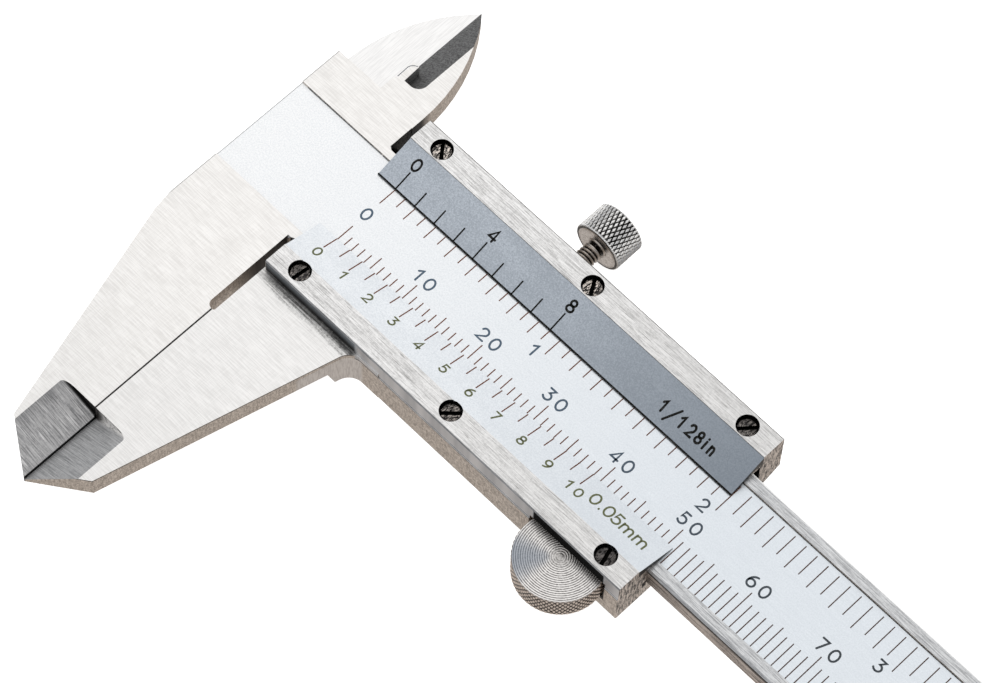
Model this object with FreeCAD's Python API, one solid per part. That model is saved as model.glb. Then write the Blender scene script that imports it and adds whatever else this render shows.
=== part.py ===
import FreeCAD, Part
import math
import os
from FreeCAD import Vector

# Vernier caliper for 0 to 150 mm, lying on its back with its jaws closed.
# X runs along the beam, away from the head; its zero is the plane where the outside jaws meet.
# Y runs towards the inside jaws; its zero is the beam's centre line.
# Z points out of the scale face; its zero is the back of the slider. All sizes in millimetres.

# ---- driving dimensions -------------------------------------------------------------------

TRAVEL = 150.0                  # measuring range, and the slider's stroke
RUN_GAP = 0.05                  # running clearance between beam and slider
JAW_GAP = 0.02                  # between the two closed outside jaws

BEAM_WIDTH = 16.0
BEAM_THICK = 3.0
BEAM_BACK = 2.6                 # height of the beam's back face
BEAM_END = 217.0
SCALE_DEPTH = 0.25              # the scale face lies this far below its two rails
RAIL_WIDTH = 1.5
EDGE_BREAK = 0.25               # chamfer along the rails

HEAD_LEFT = -13.55
HEAD_TOP = 12.1
HEAD_SHOULDER = -13.2           # where the head's straight left side turns into the jaw
JAW_TIP = -47.0
FIXED_HEEL = (5.45, -43.3, 0.4)     # reach, y and rounding of the outer corner at each jaw's tip
MOVING_HEEL = (6.12, -42.66, 0.15)
JAW_ROOT = -15.8
JAW_ROOT_WIDTH = 13.2
RELIEF_END = -19.8              # the jaws touch only below this
FIXED_RELIEF = 0.8              # half-widths of the relief between the jaws, fixed and moving side
MOVING_RELIEF = 0.33
CONTACT_GROOVE = 0.1            # the jaws' broken edges form a groove this deep along their contact
BEVEL_TOP = -36.6               # the thin part of the outside jaws starts here
BEVEL_WIDTH = 4.9
FIXED_BEVEL_DEPTH = 1.95
MOVING_BEVEL_DEPTH = 2.55

BLADE_EDGE = -7.15              # measuring edges of the closed inside jaws
BLADE_WIDTH = 6.25
BLADE_TIP = 28.0
BLADE_STRAIGHT = 12.7           # above this each blade's outer side is an arc
BLADE_BEVEL_WIDTH = 3.6
BLADE_BEVEL_FOOT = 14.6
HEAD_RELIEF = -0.95             # head's right side, facing the slider's end
RELIEF_FLOOR = 7.5              # the reliefs beside the slider's end stop here, just inside the beam

SLIDER_LEFT = 0.55
SLIDER_RIGHT = 53.95
SLIDER_HALF = 12.5
SLIDER_TOP = 7.5
SIDE_STEP = 0.12                # the upper band of the lower side is set back this much
SIDE_STEP_TOP = 4.95
UNDERCUT = 0.6                  # groove in the channel's lower inner corner
GIB_WALL = 9.0                  # slider's inner wall above the beam
LIP_START = 7.2                 # the slider's lips reach over the rails from here
LIP_TOP = 5.8
SEAT_START = 7.8                # flat seat of the vernier plates, from here outwards
WINDOW_HALF = 9.4               # the vernier plates end here
METRIC_PLATE_TIP = 4.25         # inner edges of the two vernier plates
INCH_PLATE_TIP = 4.4
PLATE_TIP_TOP = 5.5
PLATE_EDGE_TOP = 7.36
PLATE_SEAT = 6.0

SCREW_X = (4.0, 27.1, 50.15)
SCREW_Y = {-1: 10.5, 1: 10.8}   # distance from the centre line, metric and inch side
SCREW_HEAD_R = 1.22
SCREW_HEAD_TOP = 6.85
SCREW_SHANK_R = 0.8
SCREW_END = 3.6
COUNTERBORE_R = 1.3
EAR_THICK = 0.3
TAB_HALF = 0.7                  # half-width of the tab that joins each ear to its plate

LOCK_X = 23.05
LOCK_Z = 4.1
LOCK_KNOB_R = 3.15
LOCK_KNOB_START = 15.7
LOCK_KNOB_END = 19.6
LOCK_STUD_R = 1.2
LOCK_BORE_R = 1.25
LOCK_PAD_R = 1.17
LOCK_PAD_TIP = 9.15

ROLLER_X = 46.45
ROLLER_Y = -13.4
ROLLER_R = 5.2
ROLLER_BACK = 2.05
ROLLER_THICK = 3.45
ROLLER_BORE_R = 1.25
AXLE_R = 1.2
SPACER_R = 1.9
ARM_THICK = 1.2
ARM_START_X = 31.5

ROD_HALF = 2.0
ROD_THICK = 1.4
ROD_BACK = 2.7
ROD_START = 14.0
HOLDER_X = (12.0, 42.0)
HOLDER_HALF = 5.2
HOLDER_THICK = 1.2
STOP_LENGTH = 9.0
STOP_THICK = 1.2

BEAM_HALF = BEAM_WIDTH / 2
BEAM_FRONT = BEAM_BACK + BEAM_THICK
SCALE_FACE = BEAM_FRONT - SCALE_DEPTH
SCALE_HALF = BEAM_HALF - RAIL_WIDTH
BACK_LAYER_TOP = BEAM_BACK - RUN_GAP
CHANNEL_TOP = BEAM_FRONT + RUN_GAP
ABOVE = 20.0                    # taller than the whole caliper, for cutters


# ---- shape helpers ------------------------------------------------------------------------

def corner_arc(before, corner, after, radius):
    """Tangent points and middle point of the arc that rounds a corner of an outline."""
    to_before = (before - corner).normalize()
    to_after = (after - corner).normalize()
    half_angle = to_before.getAngle(to_after) / 2
    reach = radius / math.tan(half_angle)
    bisector = (to_before + to_after).normalize()
    middle = corner + bisector * (radius / math.sin(half_angle) - radius)
    return corner + to_before * reach, middle, corner + to_after * reach


def outline_face(corners, z):
    """Flat face at height z from (x, y) or (x, y, radius) corners."""
    points = [Vector(c[0], c[1], z) for c in corners]
    radii = [c[2] if len(c) > 2 else 0.0 for c in corners]
    edges = []
    ends = []
    for i, point in enumerate(points):
        if radii[i] > 0:
            arc = corner_arc(points[i - 1], point, points[(i + 1) % len(points)], radii[i])
            edges.append(Part.Arc(*arc).toShape())
            ends.append((arc[0], arc[2]))
        else:
            edges.append(None)
            ends.append((point, point))
    loop = []
    for i, edge in enumerate(edges):
        if edge is not None:
            loop.append(edge)
        loop.append(Part.makeLine(ends[i][1], ends[(i + 1) % len(ends)][0]))
    return Part.Face(Part.Wire(loop))


def plate(corners, z_low, z_high):
    """Prism along Z."""
    return outline_face(corners, z_low).extrude(Vector(0, 0, z_high - z_low))


def bar(profile, x_low, x_high):
    """Prism along X from (y, z) points."""
    points = [Vector(x_low, y, z) for y, z in profile]
    wire = Part.makePolygon(points + points[:1])
    return Part.Face(wire).extrude(Vector(x_high - x_low, 0, 0))


def block(x_span, y_span, z_span):
    size = [high - low for low, high in (x_span, y_span, z_span)]
    return Part.makeBox(*size, Vector(x_span[0], y_span[0], z_span[0]))


def post(x, y, radius, z_low, z_high):
    """Cylinder along Z."""
    return Part.makeCylinder(radius, z_high - z_low, Vector(x, y, z_low), Vector(0, 0, 1))


def rod_y(x, z, radius, y_low, y_high):
    """Cylinder along Y."""
    return Part.makeCylinder(radius, y_high - y_low, Vector(x, y_low, z), Vector(0, 1, 0))


def mirrored(profile):
    """The same (y, z) profile on the other side of the beam."""
    return [(-y, z) for y, z in profile]


def shank_end(x, side):
    """Lower end of a vernier plate screw's shank; the one over the roller's pocket is short."""
    over_roller = math.hypot(x - ROLLER_X, side * SCREW_Y[side] - ROLLER_Y) < ROLLER_R + 2
    return CHANNEL_TOP + 0.1 if over_roller else SCREW_END


def slot_cut(x, y, z_bottom, angle, length, width=0.45):
    """Cutter for a screwdriver slot, turned by an angle in degrees."""
    cutter = block((-length / 2, length / 2), (-width / 2, width / 2), (0, ABOVE))
    cutter.rotate(Vector(0, 0, 0), Vector(0, 0, 1), angle)
    cutter.translate(Vector(x, y, z_bottom))
    return cutter


def countersunk_screw(x, y, z_flush, head_r, shank_r, length):
    """Countersunk screw driven from the back, its slot facing -Z."""
    head_depth = head_r - shank_r
    head = Part.makeCone(head_r, shank_r, head_depth, Vector(x, y, z_flush), Vector(0, 0, 1))
    shank = post(x, y, shank_r, z_flush + head_depth, z_flush + length)
    slot = block((x - head_r, x + head_r), (y - 0.2, y + 0.2), (z_flush - 1, z_flush + 0.25))
    return head.fuse(shank).cut(slot)


def countersink(x, y, z_flush, head_r, shank_r, depth):
    """Hole that takes countersunk_screw with a little room."""
    room = 0.02
    cone_depth = head_r - shank_r
    cone = Part.makeCone(head_r + room, shank_r + room, cone_depth, Vector(x, y, z_flush),
                         Vector(0, 0, 1))
    mouth = post(x, y, head_r + room, z_flush - 1, z_flush)
    return cone.fuse([mouth, post(x, y, shank_r + room, z_flush, z_flush + depth)])


# ---- beam ---------------------------------------------------------------------------------

def jaw_corners(side, face, heel):
    """Outline of one outside jaw below its relief; side is -1 for the fixed jaw, 1 for the moving."""
    reach, heel_y, rounding = heel
    return [
        (side * face, RELIEF_END),
        (side * face, JAW_TIP),
        (side * reach, heel_y, rounding),
        (side * JAW_ROOT_WIDTH, JAW_ROOT),
    ]


def contact_groove():
    """Cutter for the shallow V along the front of the closed jaws."""
    middle, depth = JAW_GAP / 2, CONTACT_GROOVE
    corners = [Vector(middle, RELIEF_END, BEAM_FRONT - depth),
               Vector(middle - depth, RELIEF_END, BEAM_FRONT + 0.001),
               Vector(middle + depth, RELIEF_END, BEAM_FRONT + 0.001)]
    return Part.Face(Part.makePolygon(corners + corners[:1])).extrude(Vector(0, BEVEL_TOP - RELIEF_END, 0))


def jaw_bevel(side, depth):
    """Cutter that thins an outside jaw towards its measuring edge."""
    low, high = BEAM_FRONT - depth, BEAM_FRONT
    profile = [Vector(0, BEVEL_TOP, low), Vector(side * BEVEL_WIDTH, BEVEL_TOP, high),
               Vector(side * BEVEL_WIDTH, BEVEL_TOP, high + 2), Vector(0, BEVEL_TOP, high + 2)]
    wedge = Part.Face(Part.makePolygon(profile + profile[:1])).extrude(Vector(0, -ABOVE, 0))
    root = [edge for edge in wedge.Edges
            if abs(edge.CenterOfMass.y - BEVEL_TOP) < 1e-6
            and abs(edge.CenterOfMass.z - (low + high) / 2) < 1e-6]
    return wedge.makeFillet(0.6, root)


def blade(side, z_low, z_high):
    """One inside jaw: straight measuring edge, arched outer side. side 1 lies right of the edge."""
    rise = BLADE_TIP - BLADE_STRAIGHT
    radius = (BLADE_WIDTH ** 2 + rise ** 2) / (2 * BLADE_WIDTH)
    turn = math.asin(rise / radius) / 2
    foot = Vector(BLADE_EDGE + side * BLADE_WIDTH, BLADE_STRAIGHT, z_low)
    middle = Vector(foot.x - side * radius * (1 - math.cos(turn)), foot.y + radius * math.sin(turn), z_low)
    tip = Vector(BLADE_EDGE, BLADE_TIP, z_low)
    root = HEAD_TOP - 3
    outer_low = Vector(foot.x, root, z_low)
    inner_low = Vector(BLADE_EDGE, root, z_low)
    loop = [Part.makeLine(inner_low, outer_low), Part.makeLine(outer_low, foot),
            Part.Arc(foot, middle, tip).toShape(), Part.makeLine(tip, inner_low)]
    return Part.Face(Part.Wire(loop)).extrude(Vector(0, 0, z_high - z_low))


def blade_bevel():
    """Cutter for the fixed inside jaw's long bevel, which ends in a round foot."""
    edge = BLADE_EDGE
    profile = [Vector(edge, BLADE_BEVEL_FOOT, BEAM_BACK + 0.1),
               Vector(edge + BLADE_BEVEL_WIDTH, BLADE_BEVEL_FOOT, BEAM_FRONT),
               Vector(edge + BLADE_BEVEL_WIDTH, BLADE_BEVEL_FOOT, BEAM_FRONT + 2),
               Vector(edge - 2, BLADE_BEVEL_FOOT, BEAM_FRONT + 2),
               Vector(edge - 2, BLADE_BEVEL_FOOT, BEAM_BACK + 0.1)]
    wedge = Part.Face(Part.makePolygon(profile + profile[:1])).extrude(Vector(0, ABOVE, 0))
    reach = [(edge - 2, 17.0), (edge + 1.25, 17.0), (edge + 1.35, BLADE_BEVEL_FOOT),
             (edge + BLADE_BEVEL_WIDTH, BLADE_BEVEL_FOOT, 1.3), (edge + BLADE_BEVEL_WIDTH, BLADE_TIP + 1),
             (edge - 2, BLADE_TIP + 1)]
    return wedge.common(plate(reach, 0, ABOVE))


def make_beam():
    upper = BEAM_HALF
    edge = EDGE_BREAK
    profile = [(-upper, BEAM_BACK), (upper, BEAM_BACK), (upper, BEAM_FRONT - edge),
               (upper - edge, BEAM_FRONT), (-upper + edge, BEAM_FRONT), (-upper, BEAM_FRONT - edge)]
    beam = bar(profile, HEAD_LEFT + 2, BEAM_END)
    fixed_jaw = jaw_corners(-1, 0.0, FIXED_HEEL)
    head = plate([(HEAD_RELIEF, -upper + 1), (HEAD_RELIEF, HEAD_TOP), (HEAD_LEFT, HEAD_TOP),
                  (HEAD_LEFT, HEAD_SHOULDER, 6.0)]
                 + fixed_jaw[:1:-1] + [fixed_jaw[1], fixed_jaw[0], (-FIXED_RELIEF, RELIEF_END, 0.75),
                                       (-FIXED_RELIEF, -upper + 1)],
                 BEAM_BACK, BEAM_FRONT)
    beam = beam.fuse([head, blade(1, BEAM_BACK, BEAM_FRONT)]).removeSplitter()
    for side, wall, rounding in ((-1, -FIXED_RELIEF, 1.2), (1, HEAD_RELIEF, 0.6)):
        floor, mouth = side * RELIEF_FLOOR, side * (upper + 3)
        relief = [(wall, mouth), (wall, floor, rounding), (-wall, floor), (-wall, mouth)]
        beam = beam.cut(plate(relief, 0, ABOVE))
    blade_relief = [(BLADE_EDGE - 1, HEAD_TOP), (BLADE_EDGE + 0.2, HEAD_TOP), (BLADE_EDGE + 0.2, 14.1),
                    (BLADE_EDGE + 0.5, 14.5), (BLADE_EDGE + 0.5, 16.4), (BLADE_EDGE, 18.0),
                    (BLADE_EDGE - 1, 18.0)]
    beam = beam.cut([plate(blade_relief, 0, ABOVE), blade_bevel(), jaw_bevel(-1, FIXED_BEVEL_DEPTH),
                     contact_groove()])
    scale_recess = block((HEAD_LEFT - 1, BEAM_END + 1), (-SCALE_HALF, SCALE_HALF), (SCALE_FACE, ABOVE))
    rod_groove = block((HOLDER_X[0], BEAM_END + 1), (-ROD_HALF - 0.15, ROD_HALF + 0.15),
                       (0, ROD_BACK + ROD_THICK + 0.1))
    beam = beam.cut([scale_recess, rod_groove])
    for side in (-1, 1):
        beam = beam.cut(plate([(BEAM_END - 1, side * upper), (BEAM_END + 1, side * upper),
                               (BEAM_END + 1, side * (upper - 2))], 0, ABOVE))
    for x, y in stop_screw_places():
        beam = beam.cut(post(x, y, 0.82, BEAM_BACK - 1, BEAM_BACK + 1.6))
    return beam


def stop_screw_places():
    x = SLIDER_RIGHT + TRAVEL + 0.3 + STOP_LENGTH / 2
    return [(x, side * 5.0) for side in (-1, 1)]


def make_end_stop():
    x_low = SLIDER_RIGHT + TRAVEL + 0.3
    stop = plate([(x_low, -7.5, 0.8), (x_low + STOP_LENGTH, -7.5, 0.8), (x_low + STOP_LENGTH, 7.5, 0.8),
                  (x_low, 7.5, 0.8)], BEAM_BACK - STOP_THICK, BEAM_BACK)
    for x, y in stop_screw_places():
        stop = stop.cut(countersink(x, y, BEAM_BACK - STOP_THICK, 1.5, 0.8, 3))
    return stop


def make_end_stop_screws():
    return [countersunk_screw(x, y, BEAM_BACK - STOP_THICK, 1.5, 0.8, 2.7) for x, y in stop_screw_places()]


# ---- slider -------------------------------------------------------------------------------

def slider_channel():
    """Cross-section walls of the slider: back layer, two side walls, two lips over the rails."""
    half, top = SLIDER_HALF, SLIDER_TOP
    lower_in, upper_in = -BEAM_HALF - RUN_GAP, GIB_WALL
    edge = 0.15
    return [
        (-half, edge), (-half + edge, 0.0), (half - 2.6, 0.0), (half, 1.0),
        (half, top - edge), (half - edge, top), (WINDOW_HALF, top), (WINDOW_HALF, PLATE_SEAT),
        (SEAT_START, PLATE_SEAT), (LIP_START, LIP_TOP), (LIP_START, CHANNEL_TOP), (upper_in, CHANNEL_TOP),
        (upper_in, BACK_LAYER_TOP), (lower_in, BACK_LAYER_TOP), (lower_in, BACK_LAYER_TOP - UNDERCUT),
        (lower_in - UNDERCUT, BACK_LAYER_TOP - UNDERCUT), (lower_in - UNDERCUT, BACK_LAYER_TOP + UNDERCUT),
        (lower_in, BACK_LAYER_TOP + UNDERCUT), (lower_in, CHANNEL_TOP),
        (-LIP_START, CHANNEL_TOP), (-LIP_START, LIP_TOP), (-SEAT_START, PLATE_SEAT),
        (-WINDOW_HALF, PLATE_SEAT), (-WINDOW_HALF, top), (-half + SIDE_STEP + edge, top),
        (-half + SIDE_STEP, top - edge), (-half + SIDE_STEP, SIDE_STEP_TOP), (-half, SIDE_STEP_TOP),
    ]


def moving_jaw():
    jaw = jaw_corners(1, JAW_GAP, MOVING_HEEL)
    root_slope = (JAW_ROOT_WIDTH - MOVING_HEEL[0]) / (JAW_ROOT - MOVING_HEEL[1])
    side_y = -SLIDER_HALF
    root_x = JAW_ROOT_WIDTH + root_slope * (side_y - JAW_ROOT)
    outer = [jaw[2], (root_x, side_y, 2.0), (root_x + 4, side_y), (root_x + 4, -SLIDER_HALF + 1)]
    full = plate(jaw[:2] + outer + [(MOVING_RELIEF, -SLIDER_HALF + 1), (MOVING_RELIEF, RELIEF_END, 0.25)],
                 BEAM_BACK, BEAM_FRONT)
    shelf_y = side_y - 2.05
    shelf_x = JAW_ROOT_WIDTH + root_slope * (shelf_y - JAW_ROOT)
    shelf = plate([(SLIDER_LEFT, shelf_y), (shelf_x, shelf_y), (root_x, side_y, 2.0), (root_x + 4, side_y),
                   (root_x + 4, side_y + 1), (SLIDER_LEFT, side_y + 1)], 0, BEAM_BACK)
    return full.cut([jaw_bevel(1, MOVING_BEVEL_DEPTH), contact_groove()]).fuse(shelf)


def moving_blade():
    """Inside jaw behind the head, with the bridge that joins it to the slider's back layer."""
    left = BLADE_EDGE - BLADE_WIDTH
    bridge = plate([(left, HEAD_TOP + 1), (left, 5.0, 3.0), (-2.5, 2.0, 4.0), (-2.5, -3.0, 2.0),
                    (SLIDER_LEFT + 2, -3.0), (SLIDER_LEFT + 2, SLIDER_HALF),
                    (BLADE_EDGE + 3.5, SLIDER_HALF, 2.5), (BLADE_EDGE, HEAD_TOP + 5)],
                   0, BACK_LAYER_TOP)
    piece = blade(-1, 0, BACK_LAYER_TOP).fuse(bridge)
    edge = BLADE_EDGE
    profile = [Vector(edge, 18.5, BACK_LAYER_TOP - 0.1), Vector(edge - BLADE_BEVEL_WIDTH, 18.5, 0),
               Vector(edge - BLADE_BEVEL_WIDTH, 18.5, -2), Vector(edge + 2, 18.5, -2),
               Vector(edge + 2, 18.5, BACK_LAYER_TOP - 0.1)]
    bevel = Part.Face(Part.makePolygon(profile + profile[:1])).extrude(Vector(0, ABOVE, 0))
    return piece.cut(bevel)


def arm_corners(room):
    """Outline of the roller's arm, grown by some room."""
    low, high = -11.6 - room, -8.9 + room
    boss = 2.3 + room
    return [(ARM_START_X - room, low, 0.8), (41.5, low, 3.0), (ROLLER_X - boss, ROLLER_Y - boss, 2.0),
            (ROLLER_X + boss, ROLLER_Y - boss, 2.0), (ROLLER_X + boss, -11.2 + room, 1.2),
            (43.0, high, 3.0), (ARM_START_X - room, high, 0.8)]


def arm_screw_places():
    return [(33.3, -10.25), (37.3, -10.25)]


def holder_screw_places():
    return [(30.0, 0.0), (38.0, 0.0)]


def rivet_places():
    return [(16.5, 0.0), (21.5, 0.0)]


def gib_screw_places():
    return [8.0, 45.0]


def make_slider_body():
    body = bar(slider_channel(), SLIDER_LEFT, SLIDER_RIGHT)
    body = body.fuse([moving_jaw(), moving_blade()]).removeSplitter()
    cutters = []
    for x in SCREW_X:
        for side in (-1, 1):
            y = side * SCREW_Y[side]
            cutters.append(post(x, y, COUNTERBORE_R, PLATE_SEAT, ABOVE))
            cutters.append(post(x, y, SCREW_SHANK_R + 0.01, shank_end(x, side) - 0.05, ABOVE))
            cutters.append(ear_tab(x, side, PLATE_SEAT, EAR_THICK + 0.03, 0.02))
    cutters.append(rod_y(LOCK_X, LOCK_Z, LOCK_BORE_R, GIB_WALL - 1, SLIDER_HALF + 1))
    for x in gib_screw_places():
        cutters.append(rod_y(x, LOCK_Z, 1.01, GIB_WALL - 1, SLIDER_HALF + 1))
    cutters.append(post(ROLLER_X, ROLLER_Y, ROLLER_R + 0.45, ROLLER_BACK - 0.2, CHANNEL_TOP))
    cutters.append(post(ROLLER_X, ROLLER_Y, SPACER_R + 0.15, -1, ROLLER_BACK))
    cutters.append(plate(arm_corners(0.15), -1, ARM_THICK + 0.1))
    for x, y in arm_screw_places():
        cutters.append(post(x, y, 0.82, 0, 4.2))
    x_low, x_high = HOLDER_X
    half = HOLDER_HALF + 0.05
    cutters.append(plate([(x_low - 0.05, -half, 1.5), (x_high + 0.05, -half, 1.5), (x_high + 0.05, half, 1.5),
                          (x_low - 0.05, half, 1.5)], -1, HOLDER_THICK + 0.02))
    cutters.append(block((ROD_START - 0.5, 25.0), (-2.2, 2.2), (0, BEAM_BACK)))
    for x, y in holder_screw_places():
        cutters.append(post(x, y, 0.82, 0, BEAM_BACK))
    return body.cut(cutters)


def ear_tab(x, side, z_low, thick, room):
    """Tab between a vernier plate's outer edge and the ear under one screw, grown by some room."""
    y_span = sorted((side * (WINDOW_HALF - 0.1 - room), side * SCREW_Y[side]))
    return block((x - TAB_HALF - room, x + TAB_HALF + room), y_span, (z_low, z_low + thick))


def vernier_plate(side):
    """Inclined plate that sits on the slider's lip, with ears under its three screws."""
    tip = INCH_PLATE_TIP if side > 0 else METRIC_PLATE_TIP
    slope = (PLATE_EDGE_TOP - PLATE_TIP_TOP) / (WINDOW_HALF - tip)
    tip_bottom = SCALE_FACE + 0.06
    rail_clear = CHANNEL_TOP + 0.02
    inner = SCALE_HALF - 0.1
    edge = WINDOW_HALF - 0.01
    profile = [(tip, tip_bottom), (tip, PLATE_TIP_TOP), (edge, PLATE_EDGE_TOP - 0.01 * slope),
               (edge, PLATE_SEAT + 0.01), (SEAT_START, PLATE_SEAT + 0.01), (LIP_START, LIP_TOP + 0.02),
               (LIP_START - 0.05, rail_clear), (inner, rail_clear), (inner, tip_bottom)]
    if side < 0:
        profile = mirrored(profile)
    piece = bar(profile, SLIDER_LEFT, SLIDER_RIGHT)
    low = PLATE_SEAT + 0.01
    for x in SCREW_X:
        y = side * SCREW_Y[side]
        ear = post(x, y, COUNTERBORE_R - 0.03, low, low + EAR_THICK)
        notch = post(x, y, COUNTERBORE_R, low + EAR_THICK, ABOVE)
        shank_hole = post(x, y, SCREW_SHANK_R + 0.05, 0, ABOVE)
        piece = piece.fuse([ear, ear_tab(x, side, low, EAR_THICK, 0.0)]).cut([notch, shank_hole])
    return piece


def plate_screws(side, angles):
    """Three slotted screws whose heads clamp a vernier plate's ears."""
    head_low = PLATE_SEAT + EAR_THICK + 0.02
    screws = []
    y = side * SCREW_Y[side]
    for x, angle in zip(SCREW_X, angles):
        head = post(x, y, SCREW_HEAD_R, head_low, SCREW_HEAD_TOP)
        rim = [edge for edge in head.Edges if abs(edge.CenterOfMass.z - SCREW_HEAD_TOP) < 1e-6]
        head = head.makeChamfer(0.12, rim)
        shank = post(x, y, SCREW_SHANK_R, shank_end(x, side), head_low)
        slot = slot_cut(x, y, SCREW_HEAD_TOP - 0.3, angle, 3.0)
        screws.append(head.fuse(shank).cut(slot))
    return screws


def make_gib_strip():
    """Spring strip that ends a little inside the slider at both ends."""
    ends = (SLIDER_LEFT + 1.0, SLIDER_RIGHT - 2.6)
    low, high = BEAM_HALF + 0.05, GIB_WALL - 0.15
    strip = block(ends, (low, high), (BEAM_BACK + 0.15, BEAM_FRONT - 0.15))
    for x in gib_screw_places():
        strip = strip.cut(rod_y(x, LOCK_Z, 0.55, high - 0.3, high + 1))
    return strip


def make_gib_screws():
    """Slotted set screws with a dog point that sits in the gib strip."""
    screws = []
    for x in gib_screw_places():
        body = rod_y(x, LOCK_Z, 1.0, GIB_WALL - 0.1, SLIDER_HALF - 0.5)
        point = rod_y(x, LOCK_Z, 0.5, GIB_WALL - 0.4, GIB_WALL)
        slot = block((x - 2, x + 2), (SLIDER_HALF - 1.0, SLIDER_HALF), (LOCK_Z - 0.2, LOCK_Z + 0.2))
        screws.append(body.fuse(point).cut(slot))
    return screws


# ---- depth rod ----------------------------------------------------------------------------

def make_depth_rod():
    rod = block((ROD_START, BEAM_END), (-ROD_HALF, ROD_HALF), (ROD_BACK, ROD_BACK + ROD_THICK))
    corner = block((BEAM_END - 1.2, BEAM_END + 1), (ROD_HALF - 1.2, ROD_HALF + 1), (0, ABOVE))
    rod = rod.cut(corner)
    for x, y in rivet_places():
        rod = rod.cut(post(x, y, 0.81, 0, ABOVE))
    return rod


def make_rod_holder():
    x_low, x_high = HOLDER_X
    half = HOLDER_HALF
    corners = [(x_low, -half, 1.5), (x_high, -half, 1.5), (x_high, half, 1.5), (x_low, half, 1.5)]
    holder = plate(corners, 0, HOLDER_THICK)
    tongue = block((ROD_START, 24.5), (-ROD_HALF + 0.05, ROD_HALF - 0.05), (0.5, ROD_BACK))
    holder = holder.fuse(tongue).removeSplitter()
    for x, y in rivet_places():
        holder = holder.cut(countersink(x, y, 0.0, 1.3, 0.8, 4))
    for x, y in holder_screw_places():
        holder = holder.cut(countersink(x, y, 0.0, 1.5, 0.8, 4))
    return holder


def make_rivets():
    """Countersunk rivets whose heads lie flush in the holder."""
    rivets = []
    top = ROD_BACK + ROD_THICK
    for x, y in rivet_places():
        head = Part.makeCone(1.3, 0.8, 0.5, Vector(x, y, 0), Vector(0, 0, 1))
        rivets.append(head.fuse(post(x, y, 0.8, 0.5, top)))
    return rivets


def make_holder_screws():
    return [countersunk_screw(x, y, 0.0, 1.5, 0.8, BACK_LAYER_TOP - 0.05) for x, y in holder_screw_places()]


# ---- thumb roller -------------------------------------------------------------------------

def make_roller_arm():
    arm = plate(arm_corners(0.0), 0.02, ARM_THICK)
    arm = arm.cut(post(ROLLER_X, ROLLER_Y, AXLE_R + 0.01, -1, ABOVE))
    for x, y in arm_screw_places():
        arm = arm.cut(countersink(x, y, 0.02, 1.4, 0.8, 3))
    return arm


def make_arm_screws():
    return [countersunk_screw(x, y, 0.02, 1.4, 0.8, 4.0) for x, y in arm_screw_places()]


def make_roller_axle():
    """Pin fixed in the arm, ending inside the roller's blind bore."""
    top = ROLLER_BACK + ROLLER_THICK - 0.8
    return post(ROLLER_X, ROLLER_Y, AXLE_R, 0.02, top)


def make_roller_spacer():
    """Collar on the axle that sets the roller's height above the arm."""
    ring = post(ROLLER_X, ROLLER_Y, SPACER_R, ARM_THICK + 0.02, ROLLER_BACK - 0.08)
    return ring.cut(post(ROLLER_X, ROLLER_Y, AXLE_R + 0.02, 0, ABOVE))


def make_thumb_roller():
    roller = post(ROLLER_X, ROLLER_Y, ROLLER_R, ROLLER_BACK, ROLLER_BACK + ROLLER_THICK)
    rims = [edge for edge in roller.Edges if edge.Length > 2 * ROLLER_R * 3 and edge.isClosed()]
    roller = roller.makeChamfer(0.2, rims)
    bore_top = ROLLER_BACK + ROLLER_THICK - 0.7
    return roller.cut(post(ROLLER_X, ROLLER_Y, ROLLER_BORE_R, 0, bore_top))


# ---- locking screw ------------------------------------------------------------------------

def make_lock_knob():
    knob = rod_y(LOCK_X, LOCK_Z, LOCK_KNOB_R, LOCK_KNOB_START, LOCK_KNOB_END)
    rims = [edge for edge in knob.Edges if edge.isClosed()]
    knob = knob.makeChamfer(0.12, rims)
    return knob.cut(rod_y(LOCK_X, LOCK_Z, LOCK_STUD_R, LOCK_KNOB_START - 1, LOCK_KNOB_END - 1.2))


def make_lock_stud():
    stud = rod_y(LOCK_X, LOCK_Z, LOCK_STUD_R, LOCK_PAD_TIP + 0.9, LOCK_KNOB_END - 1.2)
    ends = [edge for edge in stud.Edges if edge.isClosed() and edge.CenterOfMass.y < LOCK_KNOB_START]
    return stud.makeChamfer(0.2, ends)


def make_lock_pad():
    return rod_y(LOCK_X, LOCK_Z, LOCK_PAD_R, LOCK_PAD_TIP, LOCK_PAD_TIP + 0.88)


# ---- all sub-parts ------------------------------------------------------------------------

def make_parts():
    return {
        "beam": make_beam(),
        "end_stop_plate": make_end_stop(),
        "end_stop_screws": make_end_stop_screws(),
        "slider_body": make_slider_body(),
        "metric_vernier_plate": vernier_plate(-1),
        "inch_vernier_plate": vernier_plate(1),
        "metric_plate_screws": plate_screws(-1, (83.0, 45.0, 106.0)),
        "inch_plate_screws": plate_screws(1, (130.0, 122.0, 49.0)),
        "gib_strip": make_gib_strip(),
        "gib_adjusting_screws": make_gib_screws(),
        "depth_rod": make_depth_rod(),
        "depth_rod_holder": make_rod_holder(),
        "depth_rod_rivets": make_rivets(),
        "holder_screws": make_holder_screws(),
        "roller_arm": make_roller_arm(),
        "roller_arm_screws": make_arm_screws(),
        "roller_axle": make_roller_axle(),
        "roller_spacer": make_roller_spacer(),
        "thumb_roller": make_thumb_roller(),
        "lock_pad": make_lock_pad(),
        "lock_stud": make_lock_stud(),
        "lock_knob": make_lock_knob(),
    }


def main():
    os.makedirs("parts", exist_ok=True)
    for name, shape in make_parts().items():
        if isinstance(shape, list):
            shape = Part.makeCompound(shape)
        solids = len(shape.Solids)
        print(name, "solids", solids, "valid", shape.isValid(), "volume %.1f" % shape.Volume)
        shape.exportStep("parts/" + name + ".step")


main()
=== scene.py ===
import math

import bpy
import numpy as np
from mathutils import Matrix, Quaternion, Vector


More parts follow.
